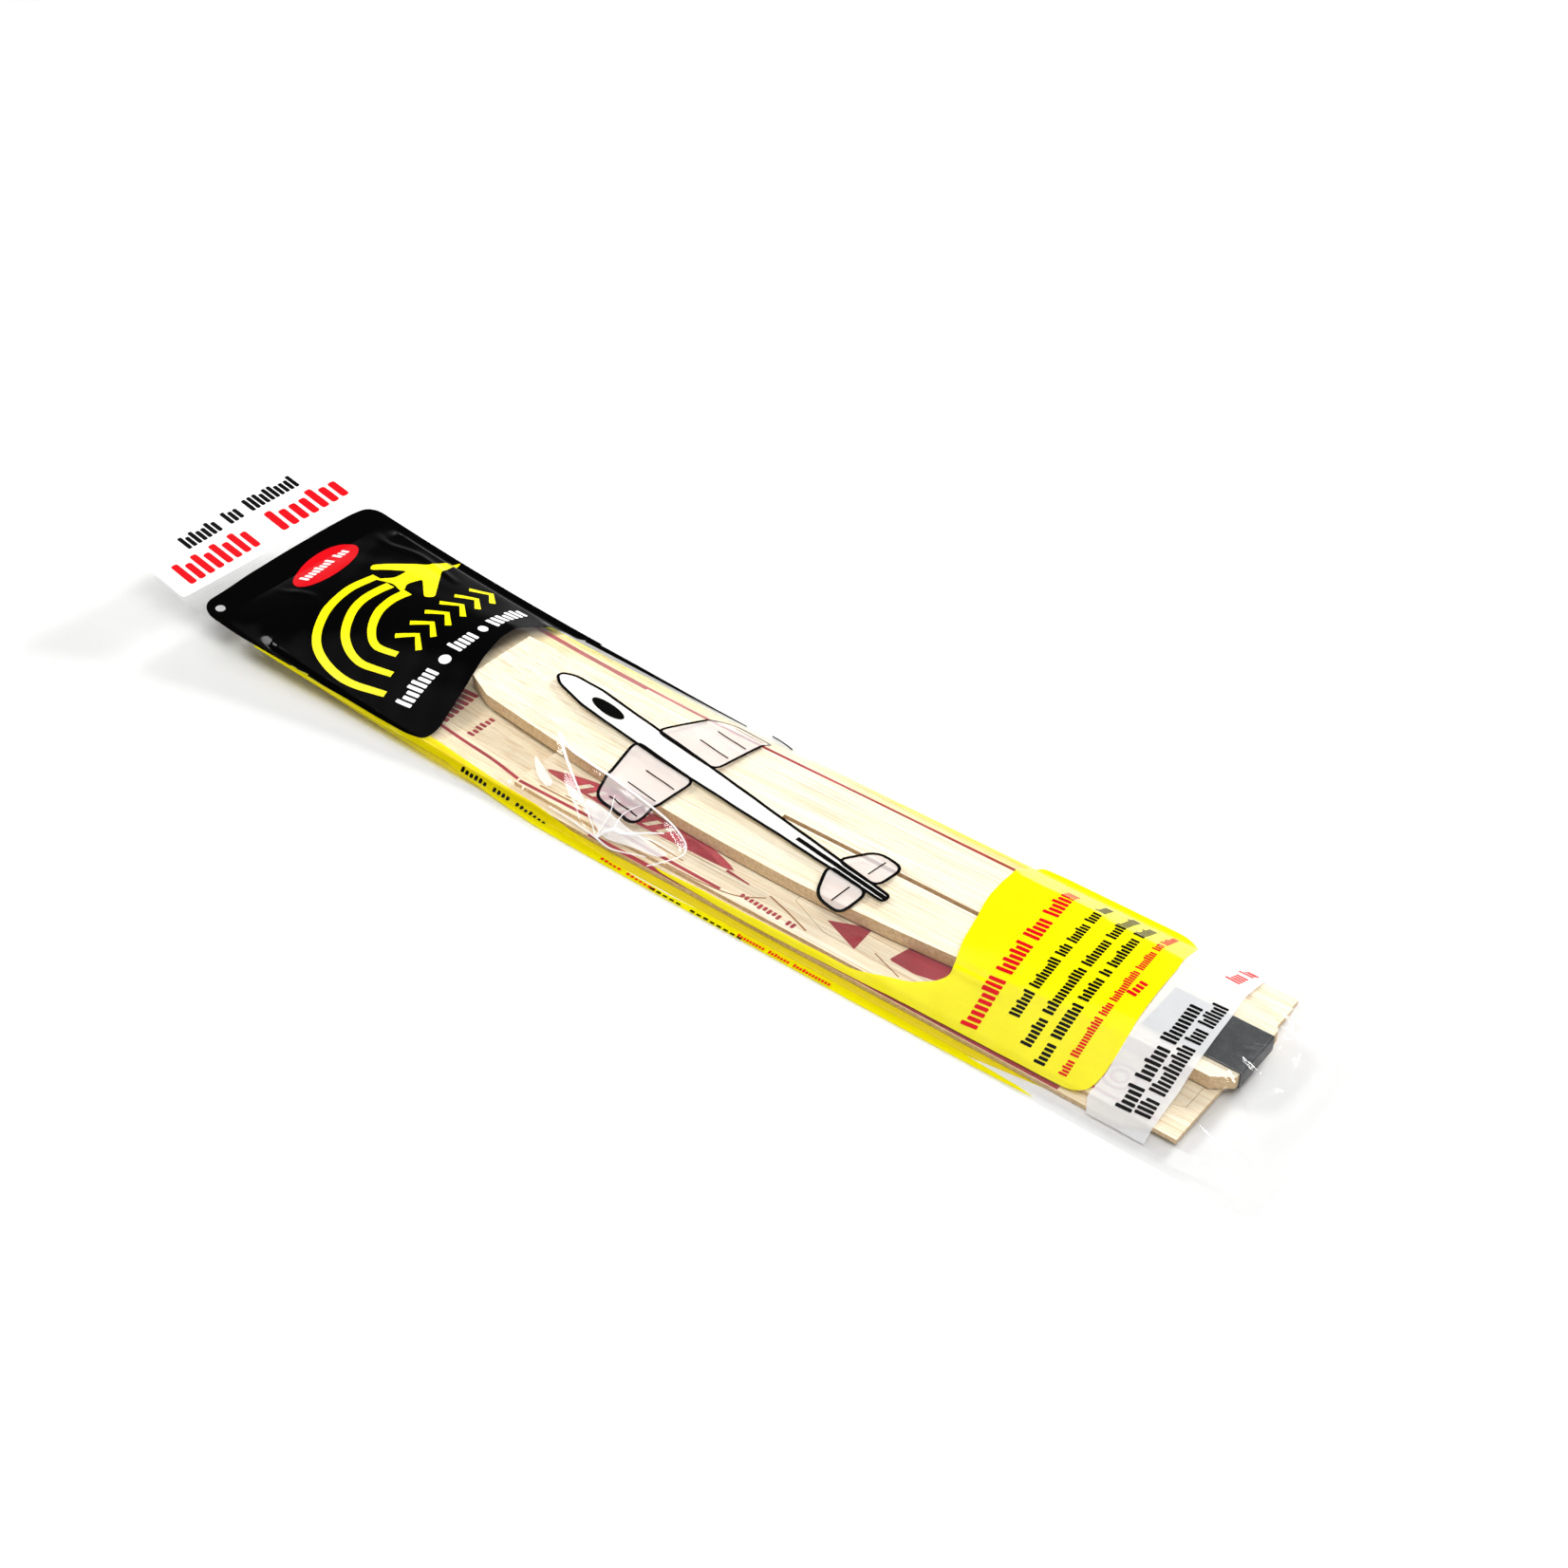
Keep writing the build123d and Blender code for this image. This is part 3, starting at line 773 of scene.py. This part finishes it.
vent_hole = ellipse((VENT[0] / MM, VENT[1] / MM), VENT[2] / MM + 0.1, VENT[2] / MM + 0.1, count=20)
panel_near = [(-78.5, 44.2), (-84, 42.5), (-92, 39.5), (-98.2, 34.5), (-100.6, 29.2), (-101.3, 22.7),
              (-100.5, 15), (-96.4, 1.3), (-93.4, -6.5), (-90.4, -14.3), (-86.7, -27.6), (-85.2, -33)]
panel_rest = [(-87, -38), (-93.8, -39.2), (-107.4, -39.6), (-126, -39.9), (-153.7, -41.1), (-176.3, -42.9),
              (-192, -43), (-197.4, -39), (-197.9, -28.5), (-199, -18.8), (-200, 0.9), (-200.5, 20.5),
              (-200.4, 35.2), (-199.3, 41.6), (-195, 44.2)]
black_panel = rounded(panel_near + panel_rest, 4, 5)
tail_strip = stroke(smooth_line([(-86, 42.4), (-65, 42.6), (-48, 42.4), (-30, 42), (-10, 41.4)]), 2.4, 0.3)
stray_dash = stroke(smooth_line([(0.5, 42.6), (5, 42.2), (10.6, 41)]), 0.5)
decal("print_black_panel", [(black_panel, [vent_hole]), tail_strip, stray_dash],
      film_surface, 1, BLACK, "bag", 1.0)

# Yellow window frame: the left border, the panel by the nose, and thin bands along both edges.
window_side = [(110.5, 40), (111.3, 27.1), (111.6, 19.4), (112.4, 10), (114.9, 1), (117.5, -10.3),
               (120.5, -18.4), (122.2, -23.5), (120, -27), (113.4, -31.1)]
left_inner = [(95.6, -35.9), (59, -36.4), (30, -36.6), (16, -37.2)]
left_outer = [(19, -37.7), (45.4, -38.4), (64.5, -38.5), (97, -37.9), (118, -37.4), (145, -37.2), (165, -37)]
near_edge = [(174, -36.6), (178, -34.8), (179.2, -29), (178.7, -19.1), (176.7, -5.8), (175.5, 6.7),
             (174.7, 18.9), (172.4, 34), (171, 40.5), (165, 43), (120, 43), (112.5, 42.5)]
yellow = rounded(window_side + left_inner + left_outer + near_edge, 2.5, 4)
decal("print_yellow", [yellow], film_surface, 0, YELLOW, "bag")
left_band = [(-168, -42.9), (-140, -41.9), (-110, -40.9), (-92, -40.2), (-75.3, -39.9), (-50.2, -42.5),
             (-31.3, -44), (10, -44.4), (100, -44.4), (140, -44), (166, -43.4), (160, -42.4),
             (140, -41.6), (100, -41.4), (48, -41.6), (26, -42.4), (13, -42.3), (0, -41.2),
             (-19, -39.2), (-35, -37.8), (-55, -37.4), (-78.7, -36.2), (-92, -36),
             (-168, -41.6)]
decal("print_left_band", [rounded(left_band, 1, 3)], film_surface, 0, MARGIN_YELLOW, "bag")
right_band = [(20, 38.2), (38, 37.6), (57, 36.6), (86, 35.4), (110.4, 34.5), (110.2, 40.5), (60, 40.5),
              (20, 39.5)]
thin_line = smooth_line([(-98, 34.9), (-80, 36.4), (-61, 37.2), (-44, 38), (-10, 38.8), (20, 38.9)])
decal("print_right_band", [rounded(right_band, 1, 3), stroke(thin_line, 1.6, 0.5)],
      film_surface, 0, PALE_YELLOW, "bag")

band = np.array([(178.9, -36), (181, -39.6), (200, -39.6), (200, -22), (199, -7), (197.6, 12), (196.4, 22),
                 (195.3, 32), (194.6, 40.5), (171.4, 41), (174.9, 18.9), (177, -5.8), (179.4, -27)])
decal("print_white_band", [band], film_surface, 0, WHITE, "bag")

# In place of a title: a plain swept-wing dart with three trails, over a row of chevrons.
trails = [[(-112, -32), (-130, -35.4), (-147, -31), (-157, -19), (-161, -4), (-160, 10)],
          [(-116, -24.5), (-130, -27), (-141.5, -22.5), (-149, -13), (-152, -3), (-151.5, 9)],
          [(-121, -17), (-130, -18.5), (-137, -14), (-142, -6), (-143.6, 2), (-143.4, 10)]]
title = [stroke(smooth_line(path, 1.2), 2.4, 4.2) for path in trails]
dart = np.array([(-151, 44), (-153.6, 35), (-154.4, 31), (-168, 15), (-165.6, 12), (-155.2, 21), (-154.4, 14),
                 (-159, 8), (-151.4, 10.5), (-144, 8), (-148.2, 14), (-147.4, 21), (-137.2, 12), (-134.8, 15),
                 (-148, 31), (-148.6, 35)])
title.append(rounded(dart, 1.5, 3))
for k in range(6):
    y0 = -11 + 8.2 * k
    x0 = -116.4 - 0.11 * (y0 + 11)
    title.append(stroke(np.array([(x0, y0), (x0 - 5.9, y0 + 5.2), (x0 - 11.8, y0)], float), 2.3))
decal("print_title", title, film_surface, 2, TITLE, "bag", 1.5)
badge = ellipse((-182.5, 5.5), 8.2, 17, 0.2)
decal("print_badge", [badge], film_surface, 2, RED, "bag", 1.5)
words = dashes((-179.0, -6.5), (-182.6, 17.5), 4.4, [8, 3], rng)
words += dashes((-100.3, -31.5), (-102.6, -14.5), 6.6, [8], rng)
words += dashes((-104.4, -2.5), (-105.2, 8), 6.4, [5], rng)
words += dashes((-106, 18), (-108, 35), 6.0, [7], rng)
words += [ellipse((-105.8, -8.6), 2.3, 2.3), ellipse((-108.4, 12.9), 2.0, 1.8)]
decal("print_white_marks", words, film_surface, 3, DOT_WHITE, "bag", 1.5)

# Lines of dashes on the yellow panel and the white band.
lines_red = dashes((139.5, -34.5), (133, 31.5), 5.6, [9, 7, 5, 8], rng)
lines_red += dashes((170.5, -34), (165.5, 37.5), 2.8, [5, 14, 5, 14, 9, 4, 9], rng)
lines_red += dashes((171.5, 0.5), (171.8, 7.5), 3.4, [4], rng)
lines_red += dashes((191.5, 27), (191.5, 41), 5, [4, 3], rng)
decal("print_red_lines", lines_red, film_surface, 1, RED, "bag", 1.5)
lines_black = dashes((148, -25), (143.5, 34.5), 3.7, [7, 10, 4, 7, 4, 5], rng)
lines_black += dashes((156.5, -31.5), (152.5, 36), 3.7, [7, 14, 9, 12], rng)
lines_black += dashes((163.2, -34.5), (159, 35), 3.7, [5, 9, 7, 2, 10, 7], rng)
lines_black += dashes((192.3, -34.5), (189.8, 8.5), 5.2, [5, 7, 10], rng)
lines_black += dashes((198, -33.5), (195.6, 13.5), 5.2, [4, 12, 4, 7], rng)
decal("print_black_lines", lines_black, film_surface, 1, MARK, "bag", 1.5)

# ---------------------------------------------------------------- build: the drawing on the window
# The printed picture is left out. In its place is a plain glider seen from above, the same on both
# sides of its centre line, made from the sizes below.
ART_NOSE, ART_TURN = (-70.0, 12.0), math.radians(-8)
ART_LENGTH, ART_HALF_SPAN, ART_HALF_TAIL = 160.0, 31.0, 14.0
WING_ROOT, WING_TIP = (46.0, 76.0), (56.0, 76.0)
TAIL_ROOT, TAIL_TIP = (136.0, 154.0), (143.0, 154.0)


def on_art(along, across):
    """A point of the drawn glider, in plan mm: along it from the nose, and across it."""
    c, s = math.cos(ART_TURN), math.sin(ART_TURN)
    return (ART_NOSE[0] + along * c - across * s, ART_NOSE[1] + along * s + across * c)


def panel(root, tip, start, reach, side):
    """One tapered half of a wing or tailplane."""
    ends = [(root[0], start), (tip[0], reach), (tip[1], reach), (root[1], start)]
    return rounded([on_art(along, side * across) for along, across in ends], 4, 5)


def pen(points, width, end=None):
    """A pen stroke along a smooth curve through the points."""
    return stroke(smooth_line(points), width, end)


def outlined(loop, width):
    """A pen stroke round a closed outline."""
    return stroke(np.vstack([loop, loop[:1]]), width)


body_half = [(0.0, 1.2), (4.0, 3.6), (18.0, 5.4), (60.0, 5.0), (110.0, 3.2), (ART_LENGTH, 1.6)]
body_loop = body_half + [(along, -across) for along, across in reversed(body_half)]
art_body = rounded([on_art(*point) for point in body_loop], 3, 4)
art_wings = [panel(root, tip, start, reach, side) for side in (-1, 1)
             for root, tip, start, reach in ((WING_ROOT, WING_TIP, 4.4, ART_HALF_SPAN),
                                             (TAIL_ROOT, TAIL_TIP, 1.8, ART_HALF_TAIL))]
art_lines = [outlined(loop, 1.1) for loop in [art_body, *art_wings]]
art_lines.append(ellipse(on_art(26, 0), 8.0, 2.6, ART_TURN))
art_lines.append(pen([on_art(120, 0), on_art(140, 0), on_art(ART_LENGTH, 0)], 1.6))
for side in (-1, 1):
    for across in (12, 20, 28):
        art_lines.append(pen([on_art(along, side * across) for along in (60, 67, 74)], 0.5))
    art_lines.append(pen([on_art(148, side * across) for across in (4, 8, 12)], 0.5))
decal("print_art_body", [art_body], film_surface, 1, ART_WHITE, "bag", 1.5)
decal("print_art_wings", art_wings, film_surface, 0, WING_WHITE, "bag", 1.5)
decal("print_art_lines", art_lines, film_surface, 2, MARK, "bag", 1.5)

# ---------------------------------------------------------------- build: painted glare on the window's creases
# Painted highlights: pale see-through skins stand in for glare on the creases, which the lights alone show in
# patches only.
STRONG_CREASE = 0.6
# Painted glints: white lines along the window's creases.
painted_glint_lines = [pen(path, 1.1, 0.35) for path, _, height in WINDOW_CREASES if height >= STRONG_CREASE]
painted_glint_lines += [pen(path, 0.5, 0.2) for path, _, height in WINDOW_CREASES if height < STRONG_CREASE]
decal("painted_glint_lines", painted_glint_lines, film_surface, 3, PAINTED_GLINT, "bag", 1.5)
# Painted glare: two pale see-through patches between the window's creases.
painted_glare_patches = [smooth_line([(-20, -29.4), (-14, -28.6), (0, -30.8), (12, -31.6), (18, -32.4), (14, -34.6),
                            (5, -35.4), (-6, -36.6), (-14, -33.6)], 1.5, True),
               smooth_line([(-48, -24), (-41, -26.6), (-35, -29.4), (-36, -31.4), (-42, -29.4)], 1.5, True)]
decal("painted_glare_patches", painted_glare_patches, film_surface, 3, PAINTED_GLARE, "bag", 1.5)

# ---------------------------------------------------------------- build: back film print
back_top = level_surface(back_level + SKIN_T)
back_panel = rounded([(-189, -41.6), (140, -41.6), (170, -37.5), (170, 30), (150, 38.2), (-20, 38.6),
                      (-189, 39.6)], 4, 4)
decal("back_print", [back_panel], back_top, 0, BACK_YELLOW, "bag", 4)
marks = dashes((-68, -40.2), (-28, -41.6), 1.4, [6, 4, 7], rng)
marks += dashes((20, -43.9), (58, -44.3), 0.8, [5, 8], rng)
decal("print_margin_marks", marks, film_surface, 1, MARK, "bag", 2)
margin_red = dashes((-2, -43.0), (22, -43.9), 1.0, [5, 7], rng)
margin_red += dashes((56, -43.9), (92, -43.7), 1.4, [9, 7, 12], rng)
decal("print_margin_red", margin_red, film_surface, 1, RED, "bag", 2)

# ---------------------------------------------------------------- build: header
flap = flap_piece("header_film", [flap_outline], -1, clear_film("film_header_clear", 0.03), 1.5, SKIN_T)
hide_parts("header_flap")
white_end = flap_end + 0.8
flap_white = rounded([(fold - 3, -43.2), (fold - 3, 43.4), (white_end, 43.4), (white_end, -43.2)], 2, 4)
flap_piece("header_white", [flap_white], 0, FLAP_WHITE)
flap_black = dashes((-222.0, -25), (-224, 31), 6.6, [7, 3, 10], rng, 0.35)
flap_piece("header_black_marks", flap_black, 1, MARK)
flap_red = dashes((-207.8, -36.5), (-208.6, -2.5), 11.0, [8], rng, 0.45)
flap_red += dashes((-209, 8.8), (-209.8, 43), 11.0, [7], rng, 0.45)
flap_piece("header_red_marks", flap_red, 1, RED)

# ---------------------------------------------------------------- build: stamps on the wood
CRIMSON = wood_ink("stamp_crimson", (0.30, 0.012, 0.025), 0.25)
ROSE = wood_ink("stamp_rose", (0.42, 0.03, 0.05), 0.45)
SCORCH = wood_ink("stamp_scorch", (0.30, 0.13, 0.04), 0.3)
wing_top = level_surface(node_top(tree_of("wing"), 0.15, 0.036))
sheet_top = level_surface(node_top(tree_of("die_cut_sheet"), 0.1, -0.033))
wing_marks = [pen([(-150, 34.3), (0, 34.2), (160, 34.4)], 1.8),
              pen([(-12, -37.2), (40, -37.1), (170, -37)], 1.7),
              pen([(-120, -26), (-81, -28.8), (-63, -29.7), (-47, -31.8)], 1.3)]
wing_marks += dashes((-88.5, -26), (-90.5, -8), 9, [7], rng, 0.4)
wing_marks += dashes((-76.5, -25.5), (-76.8, -14), 3, [6], rng)
decal("wing_stamp", wing_marks, wing_top, 0, CRIMSON, "bag", 3)
sheet_marks = [pen([(-47, -33.2), (-25, -32.3), (-9, -31.8), (17, -32.4), (40, -32.7)], 1.3),
               np.array([(75.5, -23.2), (90, -28.6), (89, -17.2)], float),
               rounded([(101, -25.6), (103.5, -15.2), (118.5, -14.6), (120, -19), (117.5, -24.5),
                        (111, -26)], 1, 3)]
sheet_marks += dashes((69.5, -30.8), (47, -29.8), 2.3, [2, 9], rng)
decal("sheet_stamp", sheet_marks, sheet_top, 0, CRIMSON, "tail_sheet", 3)
scorch = [pen([(18.5, -34.2), (34, -33.9), (46, -32.0), (54.1, -27)], 0.5),
          pen([(54.5, -25.5), (64.3, -28.2), (73.3, -31.2)], 0.6),
          pen([(-40, -30.6), (-12, -29.6), (6, -30.2)], 0.6),
          pen([(-30, -28.9), (-4, -28.4), (22, -29.6)], 0.4),
          pen([(96, -26), (108, -30)], 0.4)]
decal("sheet_scorch", scorch, sheet_top, 0, SCORCH, "tail_sheet", 3)
lens = smooth_line([(-43, -23.4), (-38, -20.4), (-24, -17), (-3, -15.4), (10, -16), (26, -19), (37, -23.6),
                    (10, -24.9), (-20, -24.9)], 1.5, True)
panes = [np.array([(x, -23.7), (x + 3.2, -19.4), (x + 5.6, -19.4), (x + 2.4, -23.7)], float)
         for x in range(-31, 9, 6)]
decal("canopy_stamp", [(lens, panes)], sheet_top, 0, ROSE, "tail_sheet", 2)
dark_blocks = [rounded([(14, -24.2), (17, -19.6), (27, -21.6), (33, -24)], 1, 3),
               rounded([(-30, -19.6), (-18, -17.6), (-20, -19.2)], 0.5, 3),
               pen([(36, -24.6), (46, -25.4)], 1.2, 0.5)]
decal("canopy_stamp_dark", dark_blocks, sheet_top, 1, CRIMSON, "tail_sheet", 2)
ring_at = (182, -23.5)
roundel = [(ellipse(ring_at, 5.4, 5.4, count=28), [ellipse(ring_at, 4.4, 4.4, count=24)]),
           (ellipse(ring_at, 3.0, 3.0, count=20), [ellipse(ring_at, 2.0, 2.0, count=16)]),
           pen([(170, -31.5), (185, -31.8), (199, -31.2)], 1.1)]
decal("sheet_roundel", roundel, sheet_top, 0, ROSE, "tail_sheet", 2)

# ---------------------------------------------------------------- camera, floor and light
scene = bpy.context.scene
lens_mm, sensor_mm, pitch = 51.28, 36.0, math.radians(38.5)
CAMERA_AT = (0.3875, -0.4346, 0.468)
HEADING = (-0.625, 0.781)               # plan direction that the camera looks in
cam_data = bpy.data.cameras.new("camera")
cam_data.lens, cam_data.sensor_width = lens_mm, sensor_mm
cam_data.clip_start, cam_data.clip_end = 0.01, 50
camera = bpy.data.objects.new("camera", cam_data)
scene.collection.objects.link(camera)
camera.location = CAMERA_AT
aim = Vector((HEADING[0] * math.cos(pitch), HEADING[1] * math.cos(pitch), -math.sin(pitch)))
camera.rotation_euler = aim.to_track_quat("-Z", "Y").to_euler()
scene.camera = camera

FLOOR = 6.0
corners = [(-FLOOR, -FLOOR, 0), (FLOOR, -FLOOR, 0), (FLOOR, FLOOR, 0), (-FLOOR, FLOOR, 0)]
floor = add_object("floor", corners, [(0, 1, 2, 3)], floor_paper())


def area(name, place, width, height, power):
    """A rectangular white softbox, turned to the middle of the pack."""
    data = bpy.data.lights.new(name, "AREA")
    data.shape, data.size, data.size_y, data.energy = "RECTANGLE", width, height, power
    lamp = bpy.data.objects.new(name, data)
    scene.collection.objects.link(lamp)
    lamp.location = place
    lamp.rotation_euler = (-Vector(place)).to_track_quat("-Z", "Y").to_euler()


area("key", (0.22, 1.35, 0.66), 0.6, 0.45, 25)
area("overhead", (0.65, -0.5, 1.6), 0.8, 0.8, 11)
area("glint", (-0.897, -0.24, 0.836), 0.30, 0.26, 6.5)

# The room: bright low walls, a darker ring that the film mirrors to the camera, and a bright ceiling.
world = bpy.data.worlds.new("studio")
world.use_nodes = True
scene.world = world
tree = world.node_tree
room = tree.nodes["Background"]
where = tree.nodes.new("ShaderNodeTexCoord")
split = tree.nodes.new("ShaderNodeSeparateXYZ")
ramp = tree.nodes.new("ShaderNodeValToRGB")
stops = ramp.color_ramp.elements
stops[0].position, stops[0].color = 0.1, rgb(0.45)
stops[1].position, stops[1].color = 0.92, rgb(1.0)
for place, level in ((0.42, 0.06), (0.76, 0.06)):
    stops.new(place).color = rgb(level)
tree.links.new(where.outputs["Generated"], split.inputs[0])
tree.links.new(split.outputs[2], ramp.inputs[0])
tree.links.new(ramp.outputs[0], room.inputs[0])
room.inputs[1].default_value = 1.3

scene.view_settings.view_transform = "Standard"
scene.cycles.transparent_max_bounces = 24
